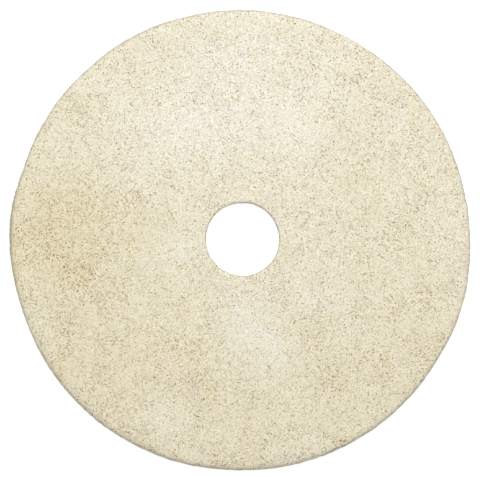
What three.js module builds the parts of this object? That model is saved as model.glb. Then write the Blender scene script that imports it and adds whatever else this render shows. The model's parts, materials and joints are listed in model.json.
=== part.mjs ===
// Floor polishing pad: one thick disc of non-woven fibre web, die-cut from the roll with a centre hole.
// Millimetres, +Z up. The origin is the middle of the disc on the face that lies on the floor.
// Both faces are flat and alike, so the pad can be turned over on the machine.
import * as THREE from "three";

const INCH = 25.4;

// Driving sizes of the disc.
const padDiameter = 20 * INCH;
const padThickness = 1 * INCH;

// The hole is cut at 3 1/4 in and the springy web closes in on it by over a millimetre all round.
const holeDieDiameter = 3.25 * INCH;
const holeSpringBack = 2.6;
const holeDiameter = holeDieDiameter - holeSpringBack;

// The hole knife stands a little off the middle of the rim knife.
const holeOffsetX = 2.0;
const holeOffsetY = 1.2;

// Lofty web has no sharp edges. Each edge rolls over on a quarter of an ellipse.
const rimReach = 11;
const rimDrop = 5;
const holeRimReach = 2.2;
const holeRimDrop = 2.2;

// Under the knife the web is squeezed, so the cut walls are dished once it springs back.
const rimWallDish = 0.9;
const holeWallDish = 0.7;

// Where the squeezed web came back further or less far than the knife's circle.
// Each swell is centred at an angle, counted anticlockwise from +X, fades over its width, and
// stands out from the pad by its height in millimetres. A negative one leaves the web short.
const rimSwells = [
  { angle: 90, width: 16, height: 0.5 },
  { angle: 116, width: 9, height: 0.3 },
  { angle: 175, width: 7, height: 0.6 },
  { angle: 235, width: 20, height: 0.3 },
  { angle: 308, width: 18, height: 0.5 },
  { angle: 343, width: 9, height: 1.2 },
  { angle: 14, width: 14, height: -1.0 },
  { angle: 56, width: 18, height: -0.8 },
  { angle: 160, width: 7, height: -1.3 },
  { angle: 201, width: 10, height: -0.9 },
  { angle: 268, width: 10, height: -0.7 },
];

// Where the knife went in at a slant the wall leans, and its foot stands out past its upper edge.
const rimFlares = [
  { angle: 118, width: 11, height: 2.2 },
  { angle: 176, width: 13, height: 2.3 },
  { angle: 275, width: 70, height: 1.4 },
];

// At the top of the hole the knife's two ends missed each other, which left a low tag of web.
const holeSwells = [
  { angle: 92, width: 7, height: 0.6 },
  { angle: 240, width: 26, height: 0.2 },
  { angle: 340, width: 20, height: -0.3 },
];

// Facets of the solid. An arc of the section gets twice the steps of its other curves.
const stepsAround = 120;
const stepsPerCurve = 3;

const padRadius = padDiameter / 2;
const holeRadius = holeDiameter / 2;

// The closed section of the pad, with x as the radius and y as the height above the floor.
// It runs along the floor face, up the rim, back along the upper face and down the hole.
function padSection() {
  const quarter = Math.PI / 2;
  const middle = padThickness / 2;
  const rimCentre = padRadius - rimReach;
  const holeCentre = holeRadius + holeRimReach;
  const section = new THREE.Path();
  section.moveTo(holeCentre, 0);
  section.lineTo(rimCentre, 0);
  section.absellipse(rimCentre, rimDrop, rimReach, rimDrop, -quarter, 0, false);
  section.quadraticCurveTo(padRadius - 2 * rimWallDish, middle, padRadius, padThickness - rimDrop);
  section.absellipse(rimCentre, padThickness - rimDrop, rimReach, rimDrop, 0, quarter, false);
  section.lineTo(holeCentre, padThickness);
  section.absellipse(
    holeCentre, padThickness - holeRimDrop, holeRimReach, holeRimDrop, quarter, 2 * quarter, false,
  );
  section.quadraticCurveTo(holeRadius + 2 * holeWallDish, middle, holeRadius, holeRimDrop);
  section.absellipse(
    holeCentre, holeRimDrop, holeRimReach, holeRimDrop, 2 * quarter, 3 * quarter, false,
  );
  return section.getPoints(stepsPerCurve);
}

// How far the swells stand out at an angle given in radians.
function swellAt(swells, angle) {
  return swells.reduce((sum, swell) => {
    const away = angle - THREE.MathUtils.degToRad(swell.angle);
    const turned = Math.atan2(Math.sin(away), Math.cos(away));
    const share = turned / THREE.MathUtils.degToRad(swell.width);
    return sum + swell.height * Math.exp(-share * share);
  }, 0);
}

// Moves the turned disc's walls to where the knives and the springy web left them.
function settleWalls(geometry) {
  const place = geometry.getAttribute("position");
  const betweenWalls = (padRadius + holeRadius) / 2;
  for (let i = 0; i < place.count; i++) {
    const x = place.getX(i);
    const y = place.getY(i);
    const angle = Math.atan2(y, x);
    if (Math.hypot(x, y) > betweenWalls) {
      const height = THREE.MathUtils.smoothstep(place.getZ(i), rimDrop, padThickness - rimDrop);
      const out = swellAt(rimSwells, angle) + (1 - height) * swellAt(rimFlares, angle);
      place.setXY(i, x + out * Math.cos(angle), y + out * Math.sin(angle));
    } else {
      const inward = swellAt(holeSwells, angle);
      const holeX = x - inward * Math.cos(angle) + holeOffsetX;
      const holeY = y - inward * Math.sin(angle) + holeOffsetY;
      place.setXY(i, holeX, holeY);
    }
  }
  geometry.computeVertexNormals();
  return geometry;
}

// Natural hair and polyester fibre in pale resin: cream, dull and open.
const fibreWeb = new THREE.MeshStandardMaterial({
  name: "fibre_web",
  color: 0xe7dfc6,
  roughness: 0.95,
  metalness: 0,
});

function makePolishingPad() {
  const turned = new THREE.LatheGeometry(padSection(), stepsAround);
  turned.rotateX(Math.PI / 2);
  const mesh = new THREE.Mesh(settleWalls(turned), fibreWeb);
  mesh.name = "polishing_pad";
  return mesh;
}

const pad = new THREE.Group();
pad.add(makePolishingPad());

export default pad;
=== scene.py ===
# Floor polishing pad: a thick disc of non-woven polyester and natural hair, bonded with pale resin.
# The dense web is shaped from the frame's own solid, and loose fibres are laid over every face of it.
import json
import math

import bpy
import numpy as np
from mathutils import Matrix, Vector, noise
from mathutils.bvhtree import BVHTree


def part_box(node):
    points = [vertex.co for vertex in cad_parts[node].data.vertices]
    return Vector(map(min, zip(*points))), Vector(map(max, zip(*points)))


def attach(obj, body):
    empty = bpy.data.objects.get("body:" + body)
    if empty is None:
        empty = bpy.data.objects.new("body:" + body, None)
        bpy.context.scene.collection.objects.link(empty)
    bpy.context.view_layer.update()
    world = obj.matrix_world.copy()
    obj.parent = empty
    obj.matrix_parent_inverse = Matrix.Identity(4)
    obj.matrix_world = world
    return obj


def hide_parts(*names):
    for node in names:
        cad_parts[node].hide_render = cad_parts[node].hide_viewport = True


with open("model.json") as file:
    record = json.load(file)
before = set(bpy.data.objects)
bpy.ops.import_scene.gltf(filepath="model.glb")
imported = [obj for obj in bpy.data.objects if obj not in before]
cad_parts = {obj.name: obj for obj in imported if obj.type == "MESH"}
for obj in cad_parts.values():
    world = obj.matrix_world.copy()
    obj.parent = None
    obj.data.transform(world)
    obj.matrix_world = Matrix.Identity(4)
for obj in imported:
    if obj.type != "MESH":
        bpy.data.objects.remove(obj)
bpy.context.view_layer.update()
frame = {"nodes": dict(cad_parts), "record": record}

MM = 0.001
PAD_NODE = "polishing_pad"
PAD_BODY = "root"
MAP_NAME = "OFBake"

pad_low, pad_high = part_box(PAD_NODE)
pad_radius = (pad_high.x - pad_low.x + pad_high.y - pad_low.y) / 4
pad_thickness = pad_high.z
opening_low, opening_high = frame["record"]["physics"]["openings"][0]["box_m"]
hole_centre = (Vector(opening_low) + Vector(opening_high)) / 2
hole_radius = min(
    math.dist(vertex.co[:2], hole_centre[:2]) for vertex in frame["nodes"][PAD_NODE].data.vertices
)

# The dense web lies this far inside the pad's faces, and the loose fibres fill what is left.
WEB_DEPTH = 0.7 * MM
WEB_VOXEL = 3.0 * MM
MERGE_DISTANCE = 0.01 * MM
# Cloudy swelling of the web: its name, the spacing of its lumps and its relief.
LOFTS = [("carded_laps", 26 * MM, 0.9 * MM), ("tufts", 7 * MM, 0.5 * MM)]
# The floor and the pad's weight press the lower face's tufts to this height.
FLOOR_GAP = 0.4 * WEB_DEPTH
# A face whose normal stands more upright than this is one of the two level faces, and the rest are walls.
LEVEL_NORMAL = 0.5
BETWEEN_WALLS = pad_radius / 2

# Mottling of the face, in millimetres: where a patch is, how far it fades and how strong it is.
# Warm patches have more old, yellowed fibre. Pale ones have less, so their strength is negative. The big
# pale patches at the top and warm ones at the left and bottom are painted light too: the face is made
# lighter at the top and darker lower down, as the light falls off.
WARM_AND_LIGHT_FALLOFF_PATCHES = [
    (-60, 135, 80, -0.90),
    (60, 150, 85, -0.90),
    (0, 215, 60, -0.50),
    (-205, 0, 75, 1.30),
    (-140, -130, 85, 0.85),
    (-10, -215, 75, 0.50),
    (20, -95, 42, -0.50),
    (-60, -15, 35, -0.35),
    (115, 105, 45, 0.30),
    (170, -150, 90, 0.50),
    (-115, 30, 35, 0.40),
]

# Hair patches are where a clump of brown hair was carded into the web. Negative ones have little hair.
HAIR_PATCHES = [
    (-176, -38, 17, 1.00),
    (-152, -12, 12, 0.55),
    (-207, 42, 16, 0.60),
    (-119, 44, 14, 0.60),
    (-174, 149, 14, 0.60),
    (-60, -160, 16, 0.65),
    (-88, -112, 16, 0.40),
    (88, -88, 16, 0.55),
    (99, -154, 20, 0.55),
    (182, 17, 18, 0.50),
    (214, -62, 18, 0.55),
    (108, -224, 14, 0.80),
    (-154, -193, 18, 0.70),
    (-5, 224, 12, 0.50),
    (-77, 213, 12, 0.50),
    (45, -60, 18, 0.35),
    (30, -225, 22, 0.45),
    (172, -85, 24, 0.35),
    (-192, -90, 20, 0.40),
    (200, 55, 14, 0.35),
    (150, 150, 18, 0.30),
    (-203, -8, 15, 0.60),
    (-220, 14, 12, 0.50),
    (-154, -69, 16, 0.40),
    (-41, -176, 12, 0.45),
    (158, -151, 18, 0.40),
    (202, -118, 16, 0.45),
    (-22, -242, 14, 0.70),
    (-202, -136, 14, 0.60),
    (-107, -220, 14, 0.50),
    (7, -96, 26, -0.60),
    (33, -136, 20, -0.60),
    (-80, -11, 28, -0.50),
    (-77, 121, 28, -0.60),
    (66, 121, 24, -0.60),
    (-180, 107, 20, -0.35),
    (169, 66, 20, -0.30),
    (-88, -190, 20, -0.40),
    (-195, 0, 55, 0.25),
    (0, 150, 90, -0.15),
]
# Cloudy noise lies over the patches: the spacing of its clouds and its share.
WARM_CLOUDS, WARM_CLOUD_SHARE = 60 * MM, 0.4
HAIR_CLOUDS, HAIR_CLOUD_SHARE = 20 * MM, 0.45
CLOUD_SMOOTHNESS, CLOUD_LACUNARITY, CLOUD_OCTAVES = 0.8, 2.0, 3
# The mottling where there is no patch, and how much a patch of strength 1 adds.
MEAN_WARMTH, WARMTH_GAIN = 0.48, 0.4
MEAN_HAIRINESS, HAIRINESS_GAIN = 0.28, 0.66
# The web is warmer where it is hairier than this.
CLUMP_START, CLUMP_WARMTH = 0.3, 0.3

# Painted shade: the foot of each cut wall is darkened in its colour, standing in for the shade at the floor.
# It is darkest at the listed angles: the angle in degrees, its fade and the strength.
RIM_FOOT_SHADE, HOLE_FOOT_SHADE = 0.3, 0.15
RIM_SHADE_ANGLES = [
    (118, 14, 0.5),
    (176, 16, 0.5),
    (240, 20, 0.15),
    (305, 28, 0.3),
]
HOLE_SHADE_ANGLES = [
    (88, 14, 0.5),
    (65, 10, 0.3),
]
# Where the painted shade fades out, out from each cut circle and up the wall in shares of its height.
RIM_FADE = (-2.5 * MM, -1.0 * MM)
HOLE_FADE = (1.2 * MM, 2.5 * MM)
FOOT_FADE = (0.26, 0.5)
# Streaks in it run along the wall, so they are squeezed in height.
STREAK_LENGTH, STREAK_SQUEEZE, STREAK_STRENGTH = 9 * MM, 4, 0.8


def colour(code):
    """The linear colour of an sRGB hex value, with full alpha."""
    shares = [int(code[i:i + 2], 16) / 255 for i in (0, 2, 4)]
    return (*[s / 12.92 if s <= 0.04045 else ((s + 0.055) / 1.055) ** 2.4 for s in shares], 1.0)


def add_node(tree, kind, settings, inputs):
    """Adds a node. A setting is one of its options, and an input is a value or the socket it is fed by."""
    made = tree.nodes.new(kind)
    for name, value in settings.items():
        setattr(made, name, value)
    for socket, value in inputs.items():
        if isinstance(value, bpy.types.NodeSocket):
            tree.links.new(value, made.inputs[socket])
        else:
            made.inputs[socket].default_value = value
    return made


def select_only(piece):
    bpy.ops.object.select_all(action="DESELECT")
    piece.select_set(True)
    bpy.context.view_layer.objects.active = piece


def apply_modifier(piece, kind, **settings):
    """Adds a modifier to the piece and applies it at once."""
    modifier = piece.modifiers.new(kind.lower(), kind)
    for name, value in settings.items():
        setattr(modifier, name, value)
    select_only(piece)
    bpy.ops.object.modifier_apply(modifier=modifier.name)


def smooth_step(values, low, high):
    share = np.clip((values - low) / (high - low), 0, 1)
    return share * share * (3 - 2 * share)


def vectors_of(items, count_of, field):
    """A field of three numbers of each item, as an array with a row for each."""
    flat = np.empty(count_of * 3, np.float32)
    items.foreach_get(field, flat)
    return flat.reshape(-1, 3).astype(float)


def points_of(mesh):
    return vectors_of(mesh.vertices, len(mesh.vertices), "co")


def unit(vectors):
    return vectors / np.maximum(np.linalg.norm(vectors, axis=-1, keepdims=True), 1e-12)


# The mottling of the web.

def mottle(places, patches, noise_spacing, noise_share):
    """How strong the mottling is at each place: the listed patches with a cloudy noise over them."""
    total = np.zeros(len(places))
    for x, y, fade, strength in patches:
        away = np.hypot(places[:, 0] / MM - x, places[:, 1] / MM - y) / fade
        total += strength * np.exp(-away ** 2)
    settings = (CLOUD_SMOOTHNESS, CLOUD_LACUNARITY, CLOUD_OCTAVES)
    clouds = [noise.fractal(Vector(p) / noise_spacing, *settings) for p in places]
    return total + noise_share * np.array(clouds)


def hairiness_at(places):
    mottling = mottle(places, HAIR_PATCHES, HAIR_CLOUDS, HAIR_CLOUD_SHARE)
    return np.clip(MEAN_HAIRINESS + HAIRINESS_GAIN * mottling, 0, 1)


# The warmth also holds the painted light falloff of the big warm and pale patches.
def warmth_at(places):
    mottling = mottle(places, WARM_AND_LIGHT_FALLOFF_PATCHES, WARM_CLOUDS, WARM_CLOUD_SHARE)
    clumps = CLUMP_WARMTH * (hairiness_at(places) - CLUMP_START)
    return np.clip(MEAN_WARMTH + WARMTH_GAIN * mottling + clumps, 0, 1)


def painted_foot_shade_at(places):
    """How much shade is painted on the foot of the cut walls. The two faces get none."""
    from_axis = np.hypot(places[:, 0], places[:, 1])
    from_hole = np.hypot(places[:, 0] - hole_centre.x, places[:, 1] - hole_centre.y)
    angle = np.degrees(np.arctan2(places[:, 1], places[:, 0]))
    on_rim = smooth_step(from_axis, *[pad_radius + away for away in RIM_FADE])
    on_hole = 1 - smooth_step(from_hole, *[hole_radius + away for away in HOLE_FADE])
    total = np.zeros(len(places))
    for shade_angles, even, on_wall in [
        (RIM_SHADE_ANGLES, RIM_FOOT_SHADE, on_rim), (HOLE_SHADE_ANGLES, HOLE_FOOT_SHADE, on_hole),
    ]:
        strength = np.full(len(places), even)
        for middle, fade, height in shade_angles:
            away = (angle - middle + 180) % 360 - 180
            strength += height * np.exp(-(away / fade) ** 2)
        total += on_wall * strength
    streaks = np.array([
        noise.noise(Vector((x, y, STREAK_SQUEEZE * z)) / STREAK_LENGTH) for x, y, z in places
    ])
    foot = 1 - smooth_step(places[:, 2], *[share * pad_thickness for share in FOOT_FADE])
    return np.clip(total * (1 + STREAK_STRENGTH * streaks), 0, 1) * foot


# The dense web.

def shape_web_body():
    """The dense web under the loose fibres: the solid's own form, drawn in a little and made lofty."""
    body = bpy.data.objects.new("web_body", frame["nodes"][PAD_NODE].data.copy())
    bpy.context.collection.objects.link(body)
    body.data.materials.clear()
    select_only(body)
    bpy.ops.object.mode_set(mode="EDIT")
    bpy.ops.mesh.select_all(action="SELECT")
    bpy.ops.mesh.remove_doubles(threshold=MERGE_DISTANCE)
    bpy.ops.object.mode_set(mode="OBJECT")
    apply_modifier(body, "REMESH", mode="VOXEL", voxel_size=WEB_VOXEL, use_smooth_shade=True)
    apply_modifier(body, "DISPLACE", mid_level=0, strength=-WEB_DEPTH)
    for name, spacing, relief in LOFTS:
        loft = bpy.data.textures.new(name, "CLOUDS")
        loft.noise_scale = spacing
        loft.noise_depth = 1
        apply_modifier(body, "DISPLACE", texture=loft, mid_level=0.5, strength=relief)
    return body


def press_flat(body):
    """Keeps the lower face's tufts from reaching below the floor."""
    places = points_of(body.data)
    places[:, 2] = np.maximum(places[:, 2], FLOOR_GAP)
    body.data.vertices.foreach_set("co", places.astype(np.float32).ravel())
    body.data.update()


def give_mottling(body):
    """Stores the mottling, and the shade painted on the foot of the walls, on the web body, for its
    material.
    """
    places = points_of(body.data)
    for name, values in [
        ("warmth", warmth_at(places)), ("hairiness", hairiness_at(places)), ("painted_foot_shade", painted_foot_shade_at(places)),
    ]:
        attribute = body.data.attributes.new(name, "FLOAT", "POINT")
        attribute.data.foreach_set("value", values.astype(np.float32))


# The body's map holds the two faces as discs on one diagonal, and the walls as strips in its free corners.
DISC_SHARE = 1 / (2 + math.sqrt(2))
STRIPS_IN_CORNER = 6
RIM_STRIPS, HOLE_STRIPS = 10, 2
STRIP_START, STRIP_LENGTH, STRIP_PITCH, STRIP_HEIGHT = 0.010, 0.385, 0.064, 0.056
CORNERS = [(1 - STRIP_START - STRIP_LENGTH, STRIP_START), (STRIP_START, 1 - STRIP_START - STRIP_LENGTH)]
# Free room round a disc, as a factor of its radius, and at each end of a strip, as a share of its length.
DISC_ROOM, STRIP_ROOM = 1.01, 0.02


def map_web_body(body):
    """Lays the two faces flat and unrolls the walls, so that no two places share a spot of the map."""
    mesh = body.data
    normals = vectors_of(mesh.polygons, len(mesh.polygons), "normal")
    middles = vectors_of(mesh.polygons, len(mesh.polygons), "center")
    sizes = np.empty(len(mesh.polygons), np.int32)
    mesh.polygons.foreach_get("loop_total", sizes)
    face = np.repeat(np.arange(len(sizes)), sizes)
    corner = np.empty(len(mesh.loops), np.int32)
    mesh.loops.foreach_get("vertex_index", corner)
    place = points_of(mesh)[corner]
    reach = np.hypot(place[:, 0], place[:, 1]).max() * DISC_ROOM
    flat = place[:, :2] / reach * DISC_SHARE
    spot = np.where(normals[face, 2:3] > 0, DISC_SHARE + flat, 1 - DISC_SHARE + flat * [1, -1])

    on_wall = np.abs(normals[face, 2]) < LEVEL_NORMAL
    middle_turn = np.arctan2(middles[:, 1], middles[:, 0])[face] / (2 * np.pi)
    turn = np.arctan2(place[:, 1], place[:, 0]) / (2 * np.pi)
    turn = middle_turn + (turn - middle_turn + 0.5) % 1 - 0.5
    in_hole = np.hypot(middles[face, 0], middles[face, 1]) < BETWEEN_WALLS
    strips = np.where(in_hole, HOLE_STRIPS, RIM_STRIPS)
    strip = np.floor((middle_turn % 1) * strips)
    along = (turn + (middle_turn % 1 - middle_turn)) * strips - strip
    row = strip + np.where(in_hole, RIM_STRIPS, 0)
    corner_start = np.array(CORNERS)[(row // STRIPS_IN_CORNER).astype(int)]
    wall = np.stack([
        corner_start[:, 0] + STRIP_LENGTH * (STRIP_ROOM + (1 - 2 * STRIP_ROOM) * along),
        corner_start[:, 1] + STRIP_PITCH * (row % STRIPS_IN_CORNER)
        + STRIP_HEIGHT * place[:, 2] / pad_thickness,
    ], axis=-1)
    spot[on_wall] = wall[on_wall]
    mesh.uv_layers.new(name=MAP_NAME)
    mesh.uv_layers[MAP_NAME].uv.foreach_set("vector", spot.astype(np.float32).ravel())


class Skin:
    """The web body's surface, on which the fibres are laid."""

    def __init__(self, body):
        mesh = body.data
        mesh.calc_loop_triangles()
        corners = np.empty(len(mesh.loop_triangles) * 3, np.int32)
        mesh.loop_triangles.foreach_get("vertices", corners)
        self.corners = points_of(mesh)[corners.reshape(-1, 3)]
        sides = np.cross(self.corners[:, 1] - self.corners[:, 0], self.corners[:, 2] - self.corners[:, 0])
        lengths = np.linalg.norm(sides, axis=1)
        self.areas = lengths / 2
        self.normals = sides / np.maximum(lengths, 1e-12)[:, None]
        self.middles = self.corners.mean(axis=1)
        self.tree = BVHTree.FromPolygons(points_of(mesh).tolist(), corners.reshape(-1, 3).tolist())

    def spots(self, chosen, count):
        """Random spots, spread evenly over the chosen triangles, with the normal at each."""
        index = np.flatnonzero(chosen)
        running = np.cumsum(self.areas[index])
        picked = index[np.searchsorted(running, rng.random(count) * running[-1])]
        a, b = rng.random((2, count))
        over = a + b > 1
        a[over], b[over] = 1 - a[over], 1 - b[over]
        tri = self.corners[picked]
        places = tri[:, 0] + a[:, None] * (tri[:, 1] - tri[:, 0]) + b[:, None] * (tri[:, 2] - tri[:, 0])
        return places, self.normals[picked]

    def snap(self, places):
        """The nearest spot of the surface to each place, and the normal there."""
        spots, normals = np.empty_like(places), np.empty_like(places)
        for i, place in enumerate(places):
            spot, normal, _, _ = self.tree.find_nearest(Vector(place))
            spots[i], normals[i] = spot, normal
        return spots, normals


# The loose fibres.

# Where the surface slopes less than this, as a sine, a fibre's heading is counted from +X instead of level.
GENTLE_SLOPE = 0.6
# The straightest fibre bends this share of the tightest bend. A fibre loses the taper's share at its ends.
LEAST_BEND, TAPER = 0.1, 0.35
# The ends dive in by this power of the distance from the middle.
DIVE_POWER = 4


def fibre_paths(places, normals, length, steps, spread, curl, lift, sink, radius):
    """Curled paths along the surface. Each rises from the web, runs in sight and dives in again.

    spread is how far, in degrees, a fibre may turn from level, curl the tightest radius it bends on,
    lift how far its middle lies over the web and sink how far its ends lie under that.
    The points, the normals there and the radii come back, with a row for each fibre. All in metres.
    """
    count = len(places)
    level = np.cross(np.array([0, 0, 1.0]), normals)
    flat = np.linalg.norm(level, axis=1) < GENTLE_SLOPE
    level[flat] = np.cross(np.array([0, 1.0, 0]), normals[flat])
    level = unit(level)
    upright = np.cross(normals, level)
    turn = np.radians(spread) * rng.uniform(-1, 1, (count, 1))
    heading = np.cos(turn) * level + np.sin(turn) * upright
    aside = np.cross(normals, heading)
    length = rng.uniform(*length, (count, 1))
    along = np.linspace(-0.5, 0.5, steps + 1)[None, :] * length
    bend = rng.uniform(LEAST_BEND, 1, (count, 1)) * rng.choice([-1, 1], (count, 1)) / curl
    ahead = np.sin(bend * along) / bend
    sideways = (1 - np.cos(bend * along)) / bend
    path = places[:, None, :] + ahead[..., None] * heading[:, None, :]
    path = path + sideways[..., None] * aside[:, None, :]
    spots, outwards = skin.snap(path.reshape(-1, 3))
    spots, outwards = spots.reshape(path.shape), outwards.reshape(path.shape)
    share = 2 * along / length
    rise = rng.uniform(*lift, (count, 1)) - rng.uniform(*sink, (count, 1)) * share ** DIVE_POWER
    thickness = rng.uniform(*radius, (count, 1)) * (1 - TAPER * share ** 2)
    points = spots + rise[..., None] * outwards
    points[..., 2] = np.maximum(points[..., 2], thickness)
    return points, outwards, thickness


# How much of the map's width a tube takes.
TUBE_MAP_WIDTH = 1 / 64


def tube_mesh(name, points, outwards, thickness, tints):
    """Closed three-sided tubes along the paths, all in one mesh.

    In the map a tube's width is a sliver at its tint and its length runs up the map, so that tubes
    lie over each other there, and the fibre's material reads its colour from the map alone.
    """
    count, stations, _ = points.shape
    heading = unit(np.gradient(points, axis=1))
    aside = unit(np.cross(heading, outwards))
    over = np.cross(aside, heading)
    around = rng.random((count, 1, 1)) * 2 * np.pi + np.arange(3)[None, None, :] * 2 * np.pi / 3
    ring = np.cos(around)[..., None] * aside[:, :, None, :] + np.sin(around)[..., None] * over[:, :, None, :]
    rings = points[:, :, None, :] + thickness[:, :, None, None] * ring
    corner = np.arange(count * stations * 3).reshape(count, stations, 3)
    turned = np.roll(corner, -1, axis=2)
    quads = np.stack([corner[:, :-1], turned[:, :-1], turned[:, 1:], corner[:, 1:]], axis=-1).reshape(-1, 4)
    caps = np.concatenate([corner[:, 0, ::-1], corner[:, -1]])

    width = TUBE_MAP_WIDTH
    across = width / 3
    left = tints[:, None, None] * (1 - width) + np.arange(3)[None, None, :] * across
    left = np.broadcast_to(left, (count, stations - 1, 3))
    steps = np.broadcast_to(np.linspace(0, 1, stations)[None, :, None], (count, stations, 3))
    low, high = steps[:, :-1], steps[:, 1:]
    quad_map = np.stack([
        np.stack([left, low], -1), np.stack([left + across, low], -1),
        np.stack([left + across, high], -1), np.stack([left, high], -1),
    ], axis=-2).reshape(-1, 2)
    cap_map = np.zeros((2 * count, 3, 2))
    cap_map[..., 0] = np.tile(tints * (1 - width), 2)[:, None] + np.array([0, across, 0])
    cap_map[..., 1] = np.repeat([0.0, 1.0 - width], count)[:, None] + np.array([0, 0, width])

    mesh = bpy.data.meshes.new(name)
    mesh.vertices.add(rings.size // 3)
    mesh.vertices.foreach_set("co", rings.astype(np.float32).ravel())
    mesh.loops.add(quads.size + caps.size)
    mesh.loops.foreach_set("vertex_index", np.concatenate([quads.ravel(), caps.ravel()]).astype(np.int32))
    starts = np.concatenate([np.arange(len(quads)) * 4, quads.size + np.arange(len(caps)) * 3])
    mesh.polygons.add(len(starts))
    mesh.polygons.foreach_set("loop_start", starts.astype(np.int32))
    mesh.update(calc_edges=True)
    mesh.uv_layers.new(name=MAP_NAME)
    flat_map = np.concatenate([quad_map, cap_map.reshape(-1, 2)])
    mesh.uv_layers[MAP_NAME].uv.foreach_set("vector", flat_map.astype(np.float32).ravel())
    mesh.shade_smooth()
    piece = bpy.data.objects.new(name, mesh)
    bpy.context.collection.objects.link(piece)
    return piece


# The materials.

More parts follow.
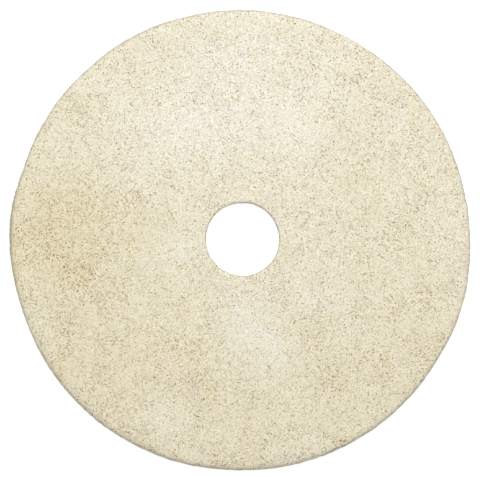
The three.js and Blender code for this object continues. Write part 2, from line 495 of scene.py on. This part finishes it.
def make_web_material():
    """Resin-bonded non-woven web: dull, with dark flecks of hair, painted shade in the pits between its
    fibres and painted shade at the foot of its walls.
    """
    material = bpy.data.materials.new("resin_bonded_web")
    material.use_nodes = True
    tree = material.node_tree
    shader = tree.nodes["Principled BSDF"]
    place = add_node(tree, "ShaderNodeTexCoord", {}, {}).outputs["Object"]
    warm = add_node(tree, "ShaderNodeAttribute", {"attribute_name": "warmth"}, {}).outputs["Fac"]
    hairy = add_node(tree, "ShaderNodeAttribute", {"attribute_name": "hairiness"}, {}).outputs["Fac"]

    # Fibre spacing in the web is about 0.4 mm, drawn at 1 mm so that it shows from a step away.
    fine = add_node(tree, "ShaderNodeTexNoise", {}, {
        "Vector": place, "Scale": 1 / (1.0 * MM), "Detail": 1.0, "Roughness": 0.6, "Distortion": 0.4,
    }).outputs["Fac"]
    # Hair ends and crossings: flecks 0.6 to 1.5 mm across, at most one to a cell about 1.8 mm wide.
    warp = add_node(tree, "ShaderNodeTexNoise", {}, {
        "Vector": place, "Scale": 1 / (2.5 * MM), "Detail": 0.0,
    }).outputs["Color"]
    moved = add_node(tree, "ShaderNodeVectorMath", {"operation": "MULTIPLY_ADD"}, {
        0: warp, 1: (1.5 * MM,) * 3, 2: place,
    }).outputs[0]
    cells = add_node(tree, "ShaderNodeTexVoronoi", {}, {"Vector": moved, "Scale": 1 / (1.8 * MM)})
    draw = add_node(tree, "ShaderNodeSeparateColor", {}, {"Color": cells.outputs["Color"]})
    base = add_node(tree, "ShaderNodeMix", {"data_type": "RGBA"}, {
        "Factor": warm, 6: colour("eeeff3"), 7: colour("dacdac"),
    }).outputs[2]
    tuft_tint = add_node(tree, "ShaderNodeMapRange", {}, {
        "Value": draw.outputs["Green"], "To Min": 0.0, "To Max": 0.35,
    }).outputs["Result"]
    tuft = add_node(tree, "ShaderNodeMix", {"data_type": "RGBA"}, {
        "Factor": tuft_tint, 6: base, 7: colour("e8dbb6"),
    }).outputs[2]
    # The fibre lots that were blended into the web differ a little in hue, from greenish to rosy.
    lots = add_node(tree, "ShaderNodeSeparateColor", {}, {"Color": warp}).outputs["Red"]
    rosy = add_node(tree, "ShaderNodeMapRange", {}, {
        "Value": lots, "From Min": 0.35, "From Max": 0.65,
    }).outputs["Result"]
    hue = add_node(tree, "ShaderNodeMix", {"data_type": "RGBA"}, {
        "Factor": rosy, 6: colour("e1e6c6"), 7: colour("efdcd9"),
    }).outputs[2]
    tinted = add_node(tree, "ShaderNodeMix", {"data_type": "RGBA"}, {
        "Factor": 0.4, 6: tuft, 7: hue,
    }).outputs[2]
    # Painted shade: the pits between the fibres, where the fine noise is low, get a darker colour.
    pit_shade = add_node(tree, "ShaderNodeMapRange", {"interpolation_type": "SMOOTHSTEP"}, {
        "Value": fine, "From Min": 0.38, "From Max": 0.56, "To Min": 1.0, "To Max": 0.0,
    }).outputs["Result"]
    pit_shaded = add_node(tree, "ShaderNodeMix", {"data_type": "RGBA"}, {
        "Factor": pit_shade, 6: tinted, 7: colour("c8c09a"),
    }).outputs[2]

    edge = add_node(tree, "ShaderNodeMapRange", {}, {
        "Value": draw.outputs["Blue"], "To Min": 0.18, "To Max": 0.42,
    }).outputs["Result"]
    inside = add_node(tree, "ShaderNodeMath", {"operation": "SUBTRACT"}, {
        0: edge, 1: cells.outputs["Distance"],
    })
    dot = add_node(tree, "ShaderNodeMapRange", {"interpolation_type": "SMOOTHSTEP"}, {
        "Value": inside.outputs[0], "From Min": -0.06, "From Max": 0.10,
    }).outputs["Result"]
    # Hairy web has more flecks, and redder ones.
    crowding = add_node(tree, "ShaderNodeMapRange", {}, {
        "Value": hairy, "To Min": 0.25, "To Max": 1.1,
    }).outputs["Result"]
    present = add_node(tree, "ShaderNodeMath", {"operation": "LESS_THAN"}, {
        0: draw.outputs["Red"], 1: crowding,
    }).outputs[0]
    fleck = add_node(tree, "ShaderNodeMath", {"operation": "MULTIPLY"}, {0: dot, 1: present}).outputs[0]
    redness = add_node(tree, "ShaderNodeMath", {"operation": "MULTIPLY_ADD"}, {
        0: draw.outputs["Green"], 1: 0.5, 2: hairy,
    }).outputs[0]
    tone = add_node(tree, "ShaderNodeMix", {"data_type": "RGBA"}, {
        "Factor": redness, 6: colour("948530"), 7: colour("82522a"),
    }).outputs[2]
    flecked = add_node(tree, "ShaderNodeMix", {"data_type": "RGBA"}, {
        "Factor": fleck, 6: pit_shaded, 7: tone,
    }).outputs[2]
    # Painted shade at the foot of the cut walls: the colour darkens towards this brown.
    painted_foot_shade = add_node(tree, "ShaderNodeAttribute", {"attribute_name": "painted_foot_shade"}, {}).outputs["Fac"]
    with_foot_shade = add_node(tree, "ShaderNodeMix", {"data_type": "RGBA"}, {
        "Factor": painted_foot_shade, 6: flecked, 7: colour("5a4c3c"),
    }).outputs[2]
    bump = add_node(tree, "ShaderNodeBump", {}, {
        "Strength": 0.45, "Distance": 0.4 * MM, "Height": fine,
    }).outputs["Normal"]
    tree.links.new(with_foot_shade, shader.inputs["Base Color"])
    tree.links.new(bump, shader.inputs["Normal"])
    shader.inputs["Roughness"].default_value = 0.95
    shader.inputs["Specular IOR Level"].default_value = 0.25
    return material


def make_fibre_material(name, stops, beads_to, roughness):
    """Fibre whose colour runs through the stops, from one side of its map to the other."""
    material = bpy.data.materials.new(name)
    material.use_nodes = True
    tree = material.node_tree
    shader = tree.nodes["Principled BSDF"]
    place = add_node(tree, "ShaderNodeUVMap", {"uv_map": MAP_NAME}, {}).outputs["UV"]
    apart = add_node(tree, "ShaderNodeSeparateXYZ", {}, {"Vector": place})
    ramp = add_node(tree, "ShaderNodeValToRGB", {}, {"Fac": apart.outputs["X"]})
    elements = ramp.color_ramp.elements
    elements[0].position, elements[0].color = stops[0][0], colour(stops[0][1])
    elements[1].position, elements[1].color = stops[-1][0], colour(stops[-1][1])
    for share, code in stops[1:-1]:
        elements.new(share).color = colour(code)
    # Beads of resin and the shadow of crossing fibres, every millimetre or so along it.
    stretched = add_node(tree, "ShaderNodeMapping", {}, {"Vector": place, "Scale": (120.0, 12.0, 1.0)})
    beads = add_node(tree, "ShaderNodeTexNoise", {"noise_dimensions": "2D"}, {
        "Vector": stretched.outputs["Vector"], "Scale": 1.0, "Detail": 1.0,
    }).outputs["Fac"]
    shade = add_node(tree, "ShaderNodeMapRange", {}, {
        "Value": beads, "From Min": 0.35, "From Max": 0.6, "To Min": beads_to, "To Max": 1.0,
    }).outputs["Result"]
    tinted = add_node(tree, "ShaderNodeMix", {"data_type": "RGBA", "blend_type": "MULTIPLY"}, {
        "Factor": 1.0, 6: ramp.outputs["Color"], 7: shade,
    }).outputs[2]
    tree.links.new(tinted, shader.inputs["Base Color"])
    shader.inputs["Roughness"].default_value = roughness
    shader.inputs["Specular IOR Level"].default_value = 0.3
    return material


def settle(piece, material):
    """Gives a finished piece its material and ties it to the frame."""
    piece.data.materials.append(material)
    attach(piece, PAD_BODY)


rng = np.random.default_rng(20)
web_body = shape_web_body()
press_flat(web_body)
give_mottling(web_body)
map_web_body(web_body)
settle(web_body, make_web_material())
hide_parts(PAD_NODE)

skin = Skin(web_body)
upper_face = skin.normals[:, 2] > LEVEL_NORMAL
floor_face = skin.normals[:, 2] < -LEVEL_NORMAL
walls = ~(upper_face | floor_face)
outside = np.hypot(skin.middles[:, 0], skin.middles[:, 1]) > BETWEEN_WALLS
rim_wall, hole_wall = walls & outside, walls & ~outside

# The kinds of fibre, in millimetres but for the steps of a path.
# Crimped staple fibre, 0.1 mm thick in life and drawn two or three times thicker so that it shows.
POLYESTER = {"length": (8, 16), "radius": (0.09, 0.15), "steps": 3, "curl": 6, "sink": (0.7, 1.5)}
# Brown hair, drawn thicker too, shows for a millimetre or two between the fibres that cross it.
HAIR = {"length": (0.9, 2.2), "radius": (0.18, 0.30), "steps": 1, "curl": 7, "sink": (0.1, 0.4)}
# A stray hair lies on top.
STRAY_HAIR = {"length": (4, 9), "radius": (0.1, 0.16), "steps": 3, "curl": 6, "sink": (0.4, 1.0)}
polyester = make_fibre_material("crimped_polyester", [
    (0.0, "eeeff5"), (0.17, "f1ead3"), (0.34, "e8ebf1"), (0.5, "efe3c2"), (0.67, "dbded5"), (0.83, "e3d398"),
    (1.0, "d8cab4"),
], 0.85, 0.7)
hair = make_fibre_material("natural_hair", [
    (0.0, "aaa25e"), (0.3, "9b8a45"), (0.65, "93592c"), (0.9, "5f4529"), (1.0, "3f342a"),
], 0.85, 0.6)
# The chance that a hair is kept where the web isn't hairy.
LEAST_HAIR = 0.2
# Tints along the stops: the least, what the mottling adds and how much single fibres vary.
HAIR_TINT, HAIR_TINT_GAIN, HAIR_TINT_VARIATION = 0.12, 0.5, 0.28
POLYESTER_TINT, POLYESTER_TINT_GAIN, POLYESTER_TINT_VARIATION = 0.05, 0.75, 0.15


def lay(name, where, kind, count, lift, spread=180):
    """Lays fibres of one kind on part of the web. More hair is kept where the web is hairy. Where shade is
    painted on a wall's foot, hair is kept and darkened and pale fibres are thinned out, as painted shade
    too.
    """
    places, normals = skin.spots(where, count)
    is_hair = kind is not POLYESTER
    # Shade painted on the wall foot: more hair there, darker hair tints, fewer pale fibres.
    painted_foot_shade = painted_foot_shade_at(places)
    if is_hair:
        chance = np.maximum(LEAST_HAIR + (1 - LEAST_HAIR) * hairiness_at(places), painted_foot_shade)
    else:
        chance = 1 - painted_foot_shade
    kept = rng.random(count) < chance
    places, normals, painted_foot_shade = places[kept], normals[kept], painted_foot_shade[kept]
    sizes = {key: np.array(kind[key]) * MM for key in ("length", "radius", "curl", "sink")}
    points, outwards, thickness = fibre_paths(
        places, normals, steps=kind["steps"], spread=spread, lift=np.array(lift) * MM, **sizes,
    )
    if is_hair:
        tints = HAIR_TINT + HAIR_TINT_GAIN * hairiness_at(places) + painted_foot_shade
        tints += rng.normal(0, HAIR_TINT_VARIATION, len(places))
    else:
        # Warmth, with its painted light falloff, sets the polyester's tint.
        tints = POLYESTER_TINT + POLYESTER_TINT_GAIN * warmth_at(places)
        tints += rng.normal(0, POLYESTER_TINT_VARIATION, len(places))
    fibres = tube_mesh(name, points, outwards, thickness, np.clip(tints, 0, 1))
    settle(fibres, hair if is_hair else polyester)


# Each lay: its name, where it goes, its kind, how many are tried and how far they lift, in millimetres.
lay("upper_fibres_under", upper_face, POLYESTER, 9400, (0.0, 0.2))
lay("upper_fibres_over", upper_face, POLYESTER, 9400, (0.15, 0.4))
lay("upper_hair", upper_face, HAIR, 29000, (0.2, 0.45))
lay("upper_stray_hair", upper_face, STRAY_HAIR, 1500, (0.3, 0.7))
lay("floor_fibres", floor_face, POLYESTER, 6000, (0.1, 0.5))
lay("floor_hair", floor_face, HAIR, 7000, (0.2, 0.5))
lay("rim_fibres", rim_wall, POLYESTER, 7000, (0.2, 1.1), spread=40)
lay("rim_hair", rim_wall, HAIR, 5000, (0.2, 0.7), spread=45)
lay("hole_fibres", hole_wall, POLYESTER, 1100, (0.1, 0.7), spread=40)
lay("hole_hair", hole_wall, HAIR, 800, (0.2, 0.6), spread=45)


# The photograph's view. Its frame is 480 x 477 pixels, and the pad's outline is a circle in it.
# The circle's middle is set so that the rim and the hole both lie where they do there.
FRAME_WIDTH_PX, FRAME_HEIGHT_PX = 480, 477
OUTLINE_MIDDLE_PX = (240.2, 239.8)
OUTLINE_RADIUS_PX = 230.32
OUTLINE_RADIUS = 254 * MM
# The pad is widest where the rounding of its upper edge ends.
RIM_DROP = 5 * MM
OUTLINE_HEIGHT = pad_thickness - RIM_DROP
CAMERA_DISTANCE = 6.0
SENSOR = 36.0

# The studio, in metres and watts. The camera sees the surround and the floor brighter than they light.
KEY_PLACE, KEY_SIZE, KEY_POWER = (0.15, 0.9, 2.1), 1.8, 38.5
SURROUND_LIGHT, SURROUND_SEEN = 0.615, 1.0
FLOOR_RADIUS, FLOOR_GLOW = 9.0, 0.65
WHITE = (1.0, 1.0, 1.0, 1.0)


def place_camera():
    """Looks straight down on the pad, with +Y at the top of the picture."""
    pixel = OUTLINE_RADIUS / OUTLINE_RADIUS_PX
    across = OUTLINE_MIDDLE_PX[0] - (FRAME_WIDTH_PX - 1) / 2
    down = OUTLINE_MIDDLE_PX[1] - (FRAME_HEIGHT_PX - 1) / 2
    data = bpy.data.cameras.new("camera")
    data.sensor_width = SENSOR
    data.lens = SENSOR * CAMERA_DISTANCE / (pixel * FRAME_WIDTH_PX)
    camera = bpy.data.objects.new("camera", data)
    camera.location = (-across * pixel, down * pixel, OUTLINE_HEIGHT + CAMERA_DISTANCE)
    bpy.context.collection.objects.link(camera)
    bpy.context.scene.camera = camera


def add_lamp(name, place, size, power):
    data = bpy.data.lights.new(name, "AREA")
    data.shape = "DISK"
    data.size = size
    data.energy = power
    lamp = bpy.data.objects.new(name, data)
    lamp.location = place
    lamp.rotation_euler = Vector(place).to_track_quat("Z", "Y").to_euler()
    lamp.visible_camera = False
    bpy.context.collection.objects.link(lamp)


def light_studio():
    """A big soft lamp above the pad's far edge, and an even white surround."""
    add_lamp("soft_key", KEY_PLACE, KEY_SIZE, KEY_POWER)
    world = bpy.data.worlds.new("surround")
    world.use_nodes = True
    tree = world.node_tree
    seen = add_node(tree, "ShaderNodeLightPath", {}, {}).outputs["Is Camera Ray"]
    strength = add_node(tree, "ShaderNodeMapRange", {}, {
        "Value": seen, "To Min": SURROUND_LIGHT, "To Max": SURROUND_SEEN,
    }).outputs["Result"]
    background = tree.nodes["Background"]
    background.inputs["Color"].default_value = WHITE
    tree.links.new(strength, background.inputs["Strength"])
    bpy.context.scene.world = world


def lay_floor():
    bpy.ops.object.select_all(action="DESELECT")
    bpy.ops.mesh.primitive_circle_add(vertices=96, radius=FLOOR_RADIUS, fill_type="NGON")
    floor = bpy.context.object
    floor.name = "studio_floor"
    material = bpy.data.materials.new("white_studio_card")
    material.use_nodes = True
    tree = material.node_tree
    shader = tree.nodes["Principled BSDF"]
    seen = add_node(tree, "ShaderNodeLightPath", {}, {}).outputs["Is Camera Ray"]
    glow = add_node(tree, "ShaderNodeMath", {"operation": "MULTIPLY"}, {0: seen, 1: FLOOR_GLOW}).outputs[0]
    tree.links.new(glow, shader.inputs["Emission Strength"])
    shader.inputs["Base Color"].default_value = (0.8, 0.8, 0.8, 1.0)
    shader.inputs["Roughness"].default_value = 0.9
    shader.inputs["Specular IOR Level"].default_value = 0.2
    shader.inputs["Emission Color"].default_value = WHITE
    floor.data.materials.append(material)


place_camera()
light_studio()
lay_floor()
bpy.context.scene.view_settings.view_transform = "Standard"
